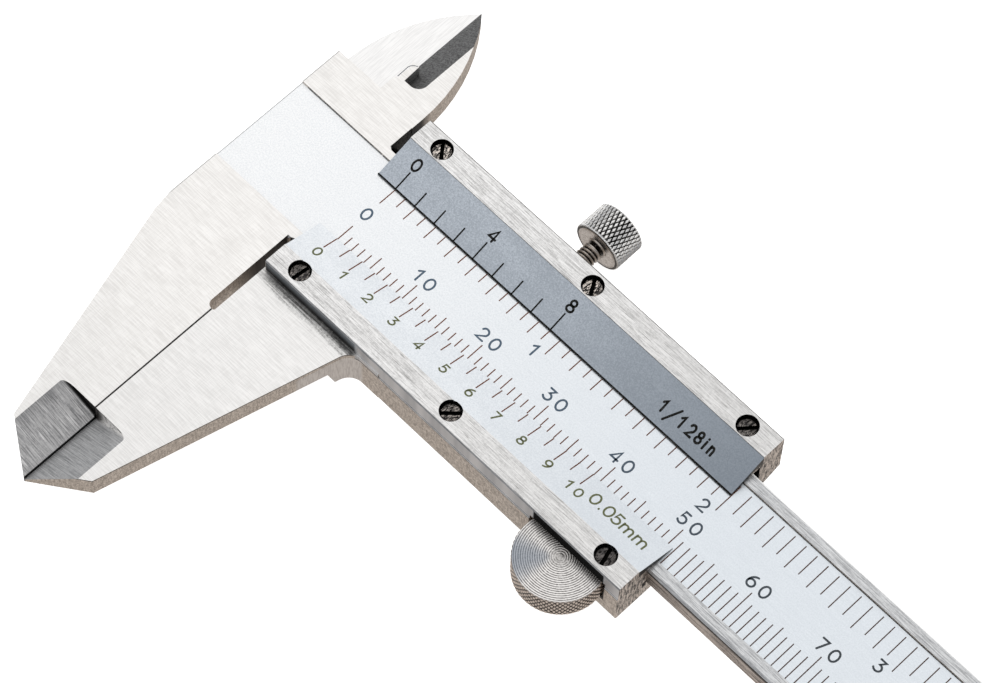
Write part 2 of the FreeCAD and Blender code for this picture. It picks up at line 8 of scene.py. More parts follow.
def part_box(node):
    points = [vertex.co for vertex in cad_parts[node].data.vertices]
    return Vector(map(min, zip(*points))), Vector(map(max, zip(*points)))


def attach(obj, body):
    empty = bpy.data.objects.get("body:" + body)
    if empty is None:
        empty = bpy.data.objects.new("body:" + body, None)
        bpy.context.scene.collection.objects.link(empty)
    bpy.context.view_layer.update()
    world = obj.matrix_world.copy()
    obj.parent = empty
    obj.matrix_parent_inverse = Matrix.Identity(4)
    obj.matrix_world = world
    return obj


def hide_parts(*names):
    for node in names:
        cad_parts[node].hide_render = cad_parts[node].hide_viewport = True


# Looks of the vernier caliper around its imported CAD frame. Lengths are millimetres of the part's own
# frame and become metres when a mesh is made. X runs along the beam away from the head, Y towards the
# inside jaws, Z out of the scale face. Colours are display values from 0 to 255.

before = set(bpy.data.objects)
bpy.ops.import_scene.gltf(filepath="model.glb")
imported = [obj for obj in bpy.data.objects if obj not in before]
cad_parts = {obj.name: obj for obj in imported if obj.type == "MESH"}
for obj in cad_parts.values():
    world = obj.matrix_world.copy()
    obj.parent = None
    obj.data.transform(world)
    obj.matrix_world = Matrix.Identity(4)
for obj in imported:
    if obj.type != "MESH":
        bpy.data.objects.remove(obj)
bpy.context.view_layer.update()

MM = 0.001


def box_mm(node):
    low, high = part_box(node)
    return np.array(low) / MM, np.array(high) / MM


def middle_and_radius(low, high):
    """Centre and radius of a round node from the corners of the box around it."""
    return (low + high) / 2, (high[0] - low[0]) / 2


BEAM_LEFT, BEAM_RIGHT = (corner[0] for corner in box_mm("beam"))
METRIC_HIGH = box_mm("metric_vernier_plate")[1]
INCH_LOW, INCH_HIGH = box_mm("inch_vernier_plate")
KNOB_LOW, KNOB_HIGH = box_mm("lock_knob")
STUD_LOW, STUD_HIGH = box_mm("lock_stud")
ROLLER_LOW, ROLLER_HIGH = box_mm("thumb_roller")

BEAM_FRONT = 5.6                    # faces of the head, the jaws and the rails
SCALE_FACE = 5.35                   # the recessed face that carries the main scales
SCALE_HALF = 6.5                    # half-width of that face; the rails lie outside it
SIDE_STEP_TOP = 4.95                # height of the step on the slider's lower side; a painted shade line runs along it
RELIEF_END = -19.8                  # the outside jaws touch only below this
BEVEL_TOP = -36.6                   # the thin part of the outside jaws starts here
PLATE_TIP_TOP = 5.5                 # the vernier plates' faces rise from here
WINDOW_HALF = 9.39                  # outer edge of the vernier plates' inclined faces
SLIDER_HALF = 12.5                  # half-width of the slider over its ground strips
SLIDER_TOP = 7.5
COUNTERBORE_R = 1.3                 # around the plate screws' heads
SCREW_HEAD_TOP = 6.85
FILLET_END = 15.0                   # the moving outside jaw's root meets the slider's side here
ZERO_X = 3.22                       # both main scales start here
INCH = 25.4
INCH_STEP = INCH / 16               # main inch divisions
METRIC_VERNIER_STEP = 39 / 20
INCH_VERNIER_STEP = 15 * INCH / 128
RING_PITCH = 0.25                   # turned rings on the roller's end face
ROLLER_KNURL = {"starts": 56, "pitch": 0.90, "depth": 0.13, "half_width": 0.38}
KNOB_KNURL = {"starts": 38, "pitch": 1.20, "depth": 0.22, "half_width": 0.27}
THREAD_PITCH, THREAD_DEPTH = 0.45, 0.22
MAIN_LINE, METRIC_VERNIER_LINE, INCH_VERNIER_LINE = 0.13, 0.14, 0.19
MAIN_FIGURE = 1.42                  # height of the main metric figures
MAIN_STROKE = 0.24
TINY = 1e-6


def screw_centres(node):
    """Centres of three equal screw heads in a row, from the box around them."""
    low, high = box_mm(node)
    head = (high[1] - low[1]) / 2
    left, right = low[0] + head, high[0] - head
    return [(x, (low[1] + high[1]) / 2, 0.0) for x in (left, (left + right) / 2, right)]


SCREW_CENTRES = screw_centres("metric_plate_screws") + screw_centres("inch_plate_screws")


# ---- meshes -------------------------------------------------------------------------------

def add_piece(name, verts, faces, material, body, smooth=False):
    """A mesh object from millimetre vertices that rides on a CAD body."""
    mesh = bpy.data.meshes.new(name)
    mesh.from_pydata((np.asarray(verts, float) * MM).tolist(), [], faces)
    mesh.materials.append(material)
    mesh.polygons.foreach_set("use_smooth", [smooth] * len(mesh.polygons))
    mesh.validate()
    piece = bpy.data.objects.new(name, mesh)
    bpy.context.scene.collection.objects.link(piece)
    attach(piece, body)
    return piece


def revolve(profile, segments, place, displace=None):
    """Closed surface of revolution from (radius, height) rows; place turns (u, v, height) into a point."""
    verts, faces, rings = [], [], []
    angles = np.linspace(0, 2 * math.pi, segments, endpoint=False)
    for radius, height in profile:
        if radius < TINY:
            rings.append([len(verts)])
            verts.append(place(0.0, 0.0, height))
            continue
        ring = []
        for angle in angles:
            r = radius + (displace(angle, radius, height) if displace else 0.0)
            ring.append(len(verts))
            verts.append(place(r * math.cos(angle), r * math.sin(angle), height))
        rings.append(ring)
    for a, b in zip(rings, rings[1:]):
        for i in range(segments):
            j = (i + 1) % segments
            if len(a) == 1 and len(b) > 1:
                faces.append((a[0], b[j], b[i]))
            elif len(b) == 1 and len(a) > 1:
                faces.append((a[i], a[j], b[0]))
            elif len(a) > 1:
                faces.append((a[i], a[j], b[j], b[i]))
    return verts, faces


class Marks:
    """Paint-filled lines on a face: flat ribbons a few micrometres proud of it."""

    RISE = 0.008
    SINK = 0.02
    CAP = ((0.85, 0.26), (0.5, 0.43))   # rounded end: share of the width, reach in widths
    LONGEST_MITRE = 0.5                 # smallest cosine by which a corner may stretch the ribbon

    def __init__(self, surface):
        self.surface = surface
        self.verts = []
        self.faces = []

    @staticmethod
    def _unit(step):
        return step / max(np.linalg.norm(step), TINY)

    @staticmethod
    def _left_of(step):
        return np.array([-step[1], step[0]])

    def _outline(self, points, width):
        """Left and right sides of a ribbon along the points, mitred at the corners."""
        closed = math.dist(points[0], points[-1]) < TINY
        path = np.array(points[:-1] if closed else points, float)
        count = len(path)
        left, right = [], []
        for i, point in enumerate(path):
            before = path[i - 1] if closed or i else path[0] * 2 - path[1]
            after = path[(i + 1) % count] if closed or i + 1 < count else point * 2 - path[i - 1]
            into, out = self._unit(point - before), self._unit(after - point)
            side = self._unit(self._left_of(into + out))
            reach = width / 2 / max(abs(side @ self._left_of(out)), self.LONGEST_MITRE)
            left.append(point + side * reach)
            right.append(point - side * reach)
        return closed, left, right

    def line(self, points, width):
        """A ribbon along the points, with rounded ends unless it closes on itself."""
        closed, left, right = self._outline(points, width)
        if not closed:
            for end, inner, sign in ((0, 1, 1), (-1, -2, -1)):
                middle = (left[end] + right[end]) / 2
                away = self._unit(middle - (left[inner] + right[inner]) / 2) * width
                caps = []
                for share, reach in self.CAP:
                    half = (left[end] - right[end]) / 2 * share
                    caps.append((middle + half + away * reach, middle - half + away * reach))
                if sign > 0:
                    left = [c[0] for c in caps[::-1]] + left
                    right = [c[1] for c in caps[::-1]] + right
                else:
                    left = left + [c[0] for c in caps]
                    right = right + [c[1] for c in caps]
        start = len(self.verts)
        count = len(left)
        self.verts += [(x, y, self.surface(y) + lift)
                       for lift in (self.RISE, -self.SINK) for side in (left, right) for x, y in side]
        top_l, top_r, low_l, low_r = (start + k * count for k in range(4))
        last = count if closed else count - 1
        for i in range(last):
            j = (i + 1) % count
            self.faces += [(top_l + i, top_r + i, top_r + j, top_l + j),
                           (low_l + j, low_r + j, low_r + i, low_l + i),
                           (top_l + j, low_l + j, low_l + i, top_l + i),
                           (top_r + i, low_r + i, low_r + j, top_r + j)]
        if not closed:
            end = count - 1
            self.faces += [(top_l, low_l, low_r, top_r),
                           (top_r + end, low_r + end, low_l + end, top_l + end)]

    def tick(self, x, y_from, y_to, width):
        self.line([(x, y_from), (x, y_to)], width)

    def write(self, text, centres, base, height, stroke, squeeze=1.0):
        """Single-stroke figures, one per centre, standing on the line y = base."""
        for char, centre in zip(text, centres):
            glyph_width, strokes = GLYPHS[char]
            for points in strokes:
                self.line([(centre + (u - glyph_width / 2) * height * squeeze, base + v * height)
                           for u, v in points], stroke)

    def finish(self, name, material, body):
        return add_piece(name, self.verts, self.faces, material, body)


def arc(cx, cy, rx, ry, start, end, steps=14):
    angles = np.radians(np.linspace(start, end, steps))
    return [(cx + rx * math.cos(a), cy + ry * math.sin(a)) for a in angles]


# Single strokes in a box of height 1: the glyph's width, then its strokes.
SIX = [arc(0.34, 0.31, 0.33, 0.31, 0, 360, 26), arc(0.66, 0.32, 0.65, 0.68, 172, 100, 10)]
GLYPHS = {
    "0": (0.70, [arc(0.35, 0.5, 0.35, 0.5, 0, 360, 34)]),
    "1": (0.34, [[(0.0, 0.74), (0.34, 1.0), (0.34, 0.0)]]),
    "2": (0.68, [arc(0.34, 0.68, 0.32, 0.32, 160, -38) + [(0.0, 0.0), (0.70, 0.0)]]),
    "3": (0.66, [[(0.05, 1.0), (0.60, 1.0), (0.28, 0.60)] + arc(0.30, 0.30, 0.34, 0.30, 85, -150)]),
    "4": (0.70, [[(0.54, 0.0), (0.54, 1.0), (0.0, 0.26), (0.72, 0.26)]]),
    "5": (0.66, [[(0.60, 1.0), (0.14, 1.0), (0.08, 0.55)] + arc(0.30, 0.32, 0.34, 0.32, 128, -148)]),
    "6": (0.68, SIX),
    "7": (0.62, [[(0.0, 1.0), (0.62, 1.0), (0.20, 0.0)]]),
    "8": (0.66, [arc(0.33, 0.76, 0.26, 0.24, 0, 360, 24), arc(0.33, 0.26, 0.33, 0.26, 0, 360, 26)]),
    "9": (0.68, [[(0.68 - u, 1.0 - v) for u, v in points] for points in SIX]),
    "m": (1.00, [[(0.0, 0.0), (0.0, 0.70)], arc(0.25, 0.42, 0.25, 0.26, 180, 0) + [(0.50, 0.0)],
                 arc(0.75, 0.42, 0.25, 0.26, 180, 0) + [(1.0, 0.0)]]),
    "i": (0.0, [[(0.0, 0.0), (0.0, 0.68)], [(0.0, 0.93), (0.0, 0.96)]]),
    "n": (0.46, [[(0.0, 0.0), (0.0, 0.68)], arc(0.23, 0.42, 0.23, 0.24, 180, 0) + [(0.46, 0.0)]]),
    "/": (0.80, [[(0.0, -0.28), (0.80, 1.16)]]),
    ".": (0.0, [[(0.0, 0.02), (0.0, 0.07)]]),
}


# ---- materials ----------------------------------------------------------------------------

def linear(red, green, blue):
    """Display values 0 to 255 as a linear colour."""
    def one(value):
        value /= 255
        return value / 12.92 if value <= 0.04045 else ((value + 0.055) / 1.055) ** 2.4
    return one(red), one(green), one(blue), 1.0


class Finish:
    """One node material. Its positions are millimetres of the part's own frame."""

    def __init__(self, name, metallic=1.0):
        self.material = bpy.data.materials.new(name)
        self.material.use_nodes = True
        self.tree = self.material.node_tree
        self.shader = self.tree.nodes["Principled BSDF"]
        self.shader.inputs["Metallic"].default_value = metallic
        coords = self.node("ShaderNodeTexCoord")
        self.place = self.vector("SCALE", coords.outputs["Object"], scale=1 / MM)
        self.x, self.y, self.z = self.axes(self.place)
        self.nx, self.ny, self.nz = self.axes(coords.outputs["Normal"])
        self.flat = self.math("ABSOLUTE", self.nz)

    def node(self, kind, **settings):
        made = self.tree.nodes.new(kind)
        for key, value in settings.items():
            setattr(made, key, value)
        return made

    def feed(self, socket, value):
        if isinstance(value, bpy.types.NodeSocket):
            self.tree.links.new(value, socket)
        else:
            socket.default_value = value

    def math(self, operation, a, b=0.0):
        made = self.node("ShaderNodeMath", operation=operation)
        self.feed(made.inputs[0], a)
        self.feed(made.inputs[1], b)
        return made.outputs[0]

    def vector(self, operation, a, b=None, scale=None):
        made = self.node("ShaderNodeVectorMath", operation=operation)
        self.feed(made.inputs[0], a)
        if b is not None:
            self.feed(made.inputs[1], b)
        if scale is not None:
            self.feed(made.inputs["Scale"], scale)
        return made.outputs["Value" if operation == "LENGTH" else "Vector"]

    def axes(self, vector):
        made = self.node("ShaderNodeSeparateXYZ")
        self.feed(made.inputs[0], vector)
        return list(made.outputs)

    def noise(self, stretch, detail=3.0, rough=0.6, distortion=0.0):
        """Noise over the position times three factors per millimetre; a large factor gives fine detail."""
        made = self.node("ShaderNodeTexNoise")
        self.feed(made.inputs["Vector"], self.vector("MULTIPLY", self.place, stretch))
        for key, value in (("Scale", 1.0), ("Detail", detail), ("Roughness", rough),
                           ("Distortion", distortion)):
            made.inputs[key].default_value = value
        return made.outputs["Fac"]

    def ramp(self, value, low, high, to_low=0.0, to_high=1.0):
        made = self.node("ShaderNodeMapRange", interpolation_type="SMOOTHSTEP")
        self.feed(made.inputs["Value"], value)
        for key, number in (("From Min", low), ("From Max", high), ("To Min", to_low),
                            ("To Max", to_high)):
            made.inputs[key].default_value = number
        return made.outputs["Result"]

    def fall(self, value, low, high, start=1.0):
        """A ramp that comes down to 0."""
        return self.ramp(value, low, high, start, 0.0)

    def between(self, value, low, high, soft=0.02):
        """1 where the value lies between low and high, 0 outside, with soft ends."""
        return self.all_of(self.ramp(value, low - soft, low + soft),
                           self.fall(value, high - soft, high + soft))

    def all_of(self, first, *others):
        for other in others:
            first = self.math("MULTIPLY", first, other)
        return first

    def any_of(self, first, *others):
        for other in others:
            first = self.math("MAXIMUM", first, other)
        return first

    def blend(self, first, second, share):
        """Sum of two height fields; share is the weight of the second."""
        return self.math("ADD", self.math("MULTIPLY", first, 1.0 - share),
                         self.math("MULTIPLY", second, share))

    def mix(self, share, a, b):
        made = self.node("ShaderNodeMix", data_type="RGBA")
        self.feed(made.inputs[0], share)
        self.feed(made.inputs[6], a)
        self.feed(made.inputs[7], b)
        return made.outputs[2]

    def tones(self, share, dark, light):
        """Mix of two colours that are given as display values."""
        return self.mix(share, linear(*dark), linear(*light))

    def radius(self, centre, along):
        """Distance from the line through centre that runs along an axis of the frame."""
        keep = [0.0 if axis == along else 1.0 for axis in "xyz"]
        offset = self.vector("SUBTRACT", self.place, tuple(centre))
        return self.vector("LENGTH", self.vector("MULTIPLY", offset, tuple(keep)))

    def bump(self, height, depth):
        made = self.node("ShaderNodeBump")
        made.inputs["Distance"].default_value = depth * MM
        self.feed(made.inputs["Height"], height)
        self.feed(self.shader.inputs["Normal"], made.outputs[0])

    def paint(self, colour, roughness):
        self.feed(self.shader.inputs["Base Color"], colour)
        self.feed(self.shader.inputs["Roughness"], roughness)
        return self.material


class Steel(Finish):
    """Ground steel: fine grain along X on the faces, brushed bevels, mottled and browner sides."""

    MATT_METALLIC = 0.15                # where the surface is glossless
    SPECULAR = 0.15                     # shows only there
    GRIND_DEPTH = 0.003

    def __init__(self, name):
        super().__init__(name)
        self.lines = self.noise((0.36, 7.5, 0.0), detail=2.0, rough=0.7)
        self.cross = self.noise((7.5, 0.36, 0.0), detail=2.0, rough=0.7)
        self.bands = self.noise((0.03, 1.1, 0.0), detail=2.0)
        self.scratch = self.noise((0.35, 9.0, 0.0), detail=1.0)
        self.speck = self.noise((4.2, 4.2, 4.2), detail=3.0, rough=0.8)
        self.hatch = self.noise((6.0, 6.0, 0.7), detail=3.0, rough=0.7)
        self.top = self.ramp(self.flat, 0.965, 0.99)
        self.side = self.fall(self.flat, 0.30, 0.62)
        self.steep = self.fall(self.flat, 0.45, 0.55)
        self.inclined = self.all_of(self.fall(self.flat, 0.965, 0.99), self.ramp(self.flat, 0.55, 0.65))
        self.facing_x = self.ramp(self.nx, 0.80, 0.92)
        self.off_centre = self.math("ABSOLUTE", self.y)

    def below_bevel_top(self):
        """The thin part of the outside jaws."""
        return self.fall(self.y, BEVEL_TOP - 0.1, BEVEL_TOP + 0.1)

    def inside_jaw_foot(self):
        """Walls beside the ground facets of the inside jaws."""
        return self.all_of(self.steep, self.between(self.y, 13.5, 18.5), self.between(self.x, -9.0, -5.0))

    def bevel_wall(self, left, right, depth, flat_from, flat_to):
        """Step between an outside jaw's face and its thin part."""
        return self.all_of(self.between(self.x, left, right),
                           self.between(self.y, BEVEL_TOP - depth, BEVEL_TOP + 0.15, 0.1),
                           self.fall(self.flat, flat_from, flat_to))

    def brushed(self, dark, light, scratched):
        """Colour of a bevel: fine lines along X with single bright and dark scratches."""
        colour = self.tones(self.ramp(self.blend(self.lines, self.speck, 0.3), 0.36, 0.62), dark, light)
        bright = [min(255, value + 62) for value in light]
        colour = self.mix(self.ramp(self.scratch, 0.62, 0.70, 0.0, scratched), colour, linear(*bright))
        return self.mix(self.fall(self.scratch, 0.34, 0.40, scratched), colour, linear(58, 58, 60))

    def grain(self, dark, light):
        """Colour of a ground face: fine lines, a little of the broad ones and a faint weave."""
        field = self.blend(self.blend(self.lines, self.bands, 0.12), self.cross, 0.22)
        return self.tones(self.ramp(field, 0.38, 0.62), dark, light)

    def common(self, face, bevel):
        """Faces, then bevels, then sides; the right ends of the slider and the beam are coarser."""
        side = self.tones(self.ramp(self.blend(self.speck, self.hatch, 0.35), 0.34, 0.66),
                          (156, 147, 138), (238, 229, 219))
        end = self.tones(self.ramp(self.blend(self.speck, self.hatch, 0.6), 0.42, 0.56),
                         (30, 26, 23), (228, 218, 209))
        end = self.mix(self.fall(self.x, 50.0, 53.0), end, side)
        side = self.mix(self.facing_x, side, end)
        colour = self.mix(self.top, bevel, face)
        return self.mix(self.side, colour, side)

    def contact(self, colour):
        """Painted shade: a dark line where the closed outside jaws meet, darkest along their thin parts."""
        near = self.between(self.x, -0.09, 0.11)
        below = self.fall(self.y, RELIEF_END - 0.05, RELIEF_END + 0.05)
        steep = self.fall(self.flat, 0.80, 0.86)
        wall = self.ramp(self.y, BEVEL_TOP - 0.1, BEVEL_TOP + 0.1)
        shade = self.tones(wall, (18, 17, 17), (118, 114, 112))
        return self.mix(self.all_of(near, below, steep), colour, shade)

    def complete(self, colour, satin=None, matt=None, dull=None):
        """satin, matt and dull are the shares of blasted surface, of glossless surface where a painted tone
        shows as it is, and of rougher surface.
        """
        rough = self.math("ADD", self.ramp(self.lines, 0.3, 0.7, 0.38, 0.30),
                          self.math("MULTIPLY", self.side, 0.12))
        height = self.blend(self.lines, self.speck, 0.3)
        if satin is not None:
            rough = self.math("ADD", rough, self.math("MULTIPLY", satin, 0.12))
            height = self.math("MULTIPLY", height, self.ramp(satin, 0.0, 1.0, 1.0, 0.2))
        if dull is not None:
            rough = self.math("ADD", rough, self.math("MULTIPLY", dull, 0.5))
        if matt is not None:
            self.feed(self.shader.inputs["Metallic"], self.ramp(matt, 0.0, 1.0, 1.0, self.MATT_METALLIC))
        self.shader.inputs["Specular IOR Level"].default_value = self.SPECULAR
        self.bump(height, self.GRIND_DEPTH)
        return self.paint(colour, rough)


def satin_of_beam(f):
    """Blasted band of the scale face, with painted light: bright at the left end, fading darker along the
    beam.
    """
    mottle = f.noise((5.6, 5.6, 5.6), detail=2.0, rough=0.8)
    light_falloff = f.tones(f.ramp(f.x, -25.0, 62.0), (255, 255, 255), (229, 234, 239))
    return f.mix(f.ramp(mottle, 0.36, 0.64, 0.0, 0.36), light_falloff, linear(208, 214, 219))


def face_of_beam(f, rail, right_of_head):
    """Head and fixed jaws with a faint smudge, and the two rails beside the scale face."""
    smudge = f.noise((0.22, 0.40, 0.40), detail=3.0, distortion=0.5)
    # painted shade: the face darkens towards the jaw tips
    face = f.tones(f.ramp(f.y, -42.0, -12.0), (222, 221, 219), (238, 236, 233))
    face = f.mix(0.5, face, f.grain((218, 215, 212), (250, 248, 246)))
    face = f.mix(f.ramp(smudge, 0.58, 0.78, 0.0, 0.22), face, linear(214, 212, 210))
    on_rail = f.all_of(right_of_head, f.between(f.off_centre, SCALE_HALF, 9.0), f.ramp(f.z, 5.3, 5.5))
    return f.mix(on_rail, face, rail)


def shaded_walls_of_beam(f, colour, right_of_head):
    """The beam's lower side, with painted shade: a dark line under the rail, and head walls that darken
    towards the slider in the relief slots and on the jaws' bevel step.
    """
    low_side = f.all_of(f.steep, right_of_head, f.fall(f.y, -7.2, -6.9))
    layers = f.noise((0.12, 0.5, 4.5), detail=3.0, rough=0.7)
    layered = f.tones(f.ramp(f.blend(layers, f.speck, 0.2), 0.40, 0.58), (84, 77, 73), (214, 205, 198))
    under_rail = f.all_of(low_side, f.between(f.z, 4.92, 5.40, 0.06))
    relief = f.all_of(f.steep, f.facing_x, f.between(f.x, -1.1, 0.9, 0.05))
    lower_slot = f.all_of(relief, f.ramp(f.y, -17.0, -12.0), f.fall(f.y, 0.0, 1.0))
    upper_slot = f.all_of(relief, f.between(f.y, 2.0, 13.2, 1.0))
    slot_end = f.all_of(f.steep, f.between(f.x, -1.1, 0.56), f.between(f.y, -7.8, -7.2))
    colour = f.mix(low_side, colour, layered)
    # painted shade under the rail, on the bevel step, in the relief slots and at the slot's end
    colour = f.mix(under_rail, colour, linear(44, 41, 39))
    colour = f.mix(f.bevel_wall(-6.0, 0.1, 1.2, 0.70, 0.92), colour, linear(20, 19, 19))
    colour = f.mix(lower_slot, colour, linear(46, 41, 38))
    colour = f.mix(upper_slot, colour, linear(16, 14, 13))
    return f.mix(slot_end, colour, linear(40, 36, 34))


def steel_for_beam():
    f = Steel("ground_steel_beam")
    right_of_head = f.ramp(f.x, 0.2, 1.0)
    behind = f.ramp(f.y, 8.0, 9.0)
    rail = f.tones(f.ramp(f.blend(f.lines, f.speck, 0.25), 0.34, 0.64), (156, 157, 159), (214, 215, 216))
    # outside bevel: brushed, with painted shade that darkens it towards its outer boundary; the inside jaw's
    # facet gets a darker painted shade still
    inside_facet_shade = f.tones(f.ramp(f.blend(f.lines, f.speck, 0.7), 0.36, 0.64), (68, 68, 68), (126, 126, 126))
    bevel = f.brushed((130, 130, 131), (182, 181, 181), 0.5)
    bevel = f.mix(f.fall(f.x, -5.4, -3.0, 0.40), bevel, linear(90, 90, 92))
    colour = f.common(face_of_beam(f, rail, right_of_head), f.mix(behind, bevel, inside_facet_shade))
    chamfer = f.all_of(right_of_head, f.between(f.off_centre, 7.4, 8.1), f.between(f.flat, 0.5, 0.9),
                       f.ramp(f.z, 5.0, 5.3))
    # painted highlight: the upper rail's chamfer is white and matt
    upper_chamfer_highlight = f.all_of(chamfer, f.ramp(f.y, -1.0, 1.0))
    colour = f.mix(chamfer, colour, rail)
    colour = f.mix(upper_chamfer_highlight, colour, linear(253, 253, 253))
    # painted shade: the walls beside the inside jaws' facets take the facet's dark tone
    foot = f.inside_jaw_foot()
    colour = f.mix(foot, shaded_walls_of_beam(f, colour, right_of_head), inside_facet_shade)
    band = f.all_of(f.top, f.between(f.z, SCALE_FACE - 0.1, SCALE_FACE + 0.1),
                    f.fall(f.off_centre, SCALE_HALF - 0.05, SCALE_HALF))
    colour = f.mix(band, f.contact(colour), satin_of_beam(f))
    left_edge = f.all_of(f.top, f.fall(f.x, BEAM_LEFT + 0.05, BEAM_LEFT + 0.16, 0.7))
    colour = f.mix(left_edge, colour, linear(120, 120, 120))
    facets = f.all_of(f.inclined, f.math("ADD", behind, f.below_bevel_top()), f.fall(f.x, 0.2, 0.3))
    return f.complete(colour, band, f.any_of(facets, upper_chamfer_highlight, foot))


def face_of_slider(f, over_jaw):
    """Jaws, the brighter inside blade, the ground strips, and the dark reflection beside their wall."""
    # painted shade: the face darkens towards the jaw tips
    face = f.tones(f.ramp(f.y, -42.0, -14.0), (220, 219, 218), (231, 230, 229))
    face = f.mix(0.5, face, f.grain((218, 216, 213), (250, 248, 246)))
    blade = f.tones(f.ramp(f.cross, 0.36, 0.62), (233, 232, 231), (246, 245, 244))
    face = f.mix(f.ramp(f.x, -3.2, -2.8), blade, face)
    # ground strips: speckle, fine lines and a few long scratches, with painted shade that darkens them
    # towards the right
    worn = f.blend(f.blend(f.lines, f.speck, 0.35), f.bands, 0.2)
    strip = f.tones(f.ramp(worn, 0.34, 0.62), (180, 179, 178), (242, 241, 240))
    strip = f.mix(f.ramp(f.x, 8.0, 50.0, 0.0, 0.28), strip, linear(176, 175, 173))
    strip = f.mix(f.ramp(f.scratch, 0.64, 0.70, 0.0, 0.62), strip, linear(112, 110, 108))
    face = f.mix(f.ramp(f.z, SLIDER_TOP - 0.5, SLIDER_TOP - 0.3), face, strip)
    # reflection of the strip's wall on the jaw
    streak = f.noise((0.16, 4.0, 4.0), detail=3.0, rough=0.7)
    depth = f.math("ADD", f.ramp(f.y, -14.5, -12.4),
                   f.ramp(f.blend(streak, f.speck, 0.4), 0.3, 0.7, -0.55, 0.40))
    root = f.all_of(f.between(f.z, BEAM_FRONT - 0.2, BEAM_FRONT + 0.2), f.ramp(depth, 0.1, 1.1, 0.0, 0.86),
                    over_jaw, f.ramp(f.x, 0.3, 3.0, 0.5, 1.0), f.ramp(f.y, -14.9, -13.9))
    return f.mix(root, face, linear(46, 44, 44))


def counterbores(f, colour):
    """Painted shade: black walls around the plate screws' heads."""
    for centre in SCREW_CENTRES:
        wall = f.all_of(f.fall(f.radius(centre, "z"), COUNTERBORE_R + 0.04, COUNTERBORE_R + 0.10),
                        f.fall(f.z, SLIDER_TOP - 0.08, SLIDER_TOP - 0.02), f.ramp(f.z, 5.9, 6.0))
        colour = f.mix(wall, colour, linear(8, 8, 8))
    return colour


def upper_band_colour(f, over_jaw, by_roller):
    """Smooth upper band of the slider's lower side, with painted shade: a slate gradient beside the jaw and
    black over the roller.
    """
    plain = f.tones(f.ramp(f.lines, 0.3, 0.7), (190, 191, 193), (220, 220, 221))
    height = f.blend(f.ramp(f.z, 5.6, 7.4), f.speck, 0.15)
    slate = f.tones(f.ramp(height, 0.05, 0.95), (20, 20, 21), (96, 100, 104))
    return f.mix(by_roller, f.mix(over_jaw, plain, slate), linear(12, 12, 12))


def steel_for_slider():
    f = Steel("ground_steel_slider")
    over_jaw = f.fall(f.x, FILLET_END - 0.8, FILLET_END)
    # painted shade: the moving jaw's bevel is a duller grey than its face
    bevel = f.brushed((136, 137, 138), (176, 176, 177), 0.25)
    colour = f.common(face_of_slider(f, over_jaw), bevel)
    # painted shade and highlight on the step of the moving jaw's bevel: dark at its left end, bright streaks
    # further along
    bevel_wall = f.bevel_wall(-0.1, 6.4, 0.9, 0.60, 0.90)
    fan = f.noise((2.2, 5.0, 1.0), detail=3.0)
    wall_shade_and_highlight = f.tones(f.all_of(f.ramp(fan, 0.30, 0.54, 0.35, 1.0), f.ramp(f.x, 0.1, 1.9)),
                      (36, 34, 33), (214, 212, 210))
    colour = f.mix(bevel_wall, colour, wall_shade_and_highlight)
    # the root's fillet gets a painted highlight, lighter than the side, and shows cutter marks
    fillet = f.all_of(f.steep, f.between(f.x, 10.8, 15.6, 0.3), f.between(f.y, -19.0, -11.0, 0.3),
                      f.fall(f.z, SIDE_STEP_TOP - 0.1, SIDE_STEP_TOP))
    colour = f.mix(fillet, colour, f.tones(f.ramp(f.hatch, 0.34, 0.62), (204, 199, 195), (228, 224, 220)))
    # lower side: the upper band lies above a step, with a painted shade line along it
    low_side = f.all_of(f.steep, f.between(f.y, -SLIDER_HALF - 0.2, -8.7), f.fall(f.ny, -0.7, -0.5))
    upper_band = f.all_of(low_side, f.between(f.z, SIDE_STEP_TOP, 8.0), f.ramp(f.x, 0.5, 0.7))
    by_roller = f.all_of(f.between(f.x, ROLLER_LOW[0] + 0.1, ROLLER_HIGH[0] + 0.1, 0.12),
                         f.fall(f.y, -11.9, -11.6))
    colour = f.mix(upper_band, colour, upper_band_colour(f, over_jaw, by_roller))
    step_shade_line = f.all_of(low_side, f.between(f.z, SIDE_STEP_TOP - 0.10, SIDE_STEP_TOP + 0.06, 0.03),
                       f.ramp(f.x, FILLET_END - 1.0, FILLET_END))
    colour = f.mix(step_shade_line, colour, linear(58, 54, 52))
    colour = counterbores(f, colour)
    # painted shade: a dark line along the jaw's side just under its face, and black inside the beam's
    # channel
    edge = f.all_of(f.steep, f.between(f.z, BEAM_FRONT - 0.19, BEAM_FRONT + 0.1), f.ramp(f.x, 0.8, 1.0),
                    f.fall(f.y, -SLIDER_HALF - 0.4, -SLIDER_HALF - 0.2, 0.85))
    colour = f.mix(edge, colour, linear(62, 57, 54))
    # painted shade: the walls beside the inside jaw's facets are dark
    foot = f.inside_jaw_foot()
    colour = f.mix(foot, colour, f.tones(f.ramp(f.speck, 0.36, 0.64), (70, 70, 71), (128, 128, 128)))
    channel = f.all_of(f.math("SUBTRACT", 1.0, f.facing_x), f.fall(f.off_centre, 9.1, 9.2),
                       f.between(f.z, 2.4, 5.95))
    colour = f.mix(channel, colour, linear(12, 11, 11))
    facet = f.all_of(f.inclined, f.below_bevel_top())
    shaded = f.all_of(upper_band, f.any_of(by_roller, over_jaw))
    matt = f.any_of(facet, shaded, bevel_wall, channel, foot)
    dull = f.any_of(channel, f.all_of(upper_band, by_roller))
    return f.complete(f.contact(colour), f.math("MULTIPLY", upper_band, 0.5), matt, dull)


def steel_plain():
    f = Steel("ground_steel_plain")
    face = f.grain((196, 194, 191), (240, 238, 236))
    return f.complete(f.common(face, face))


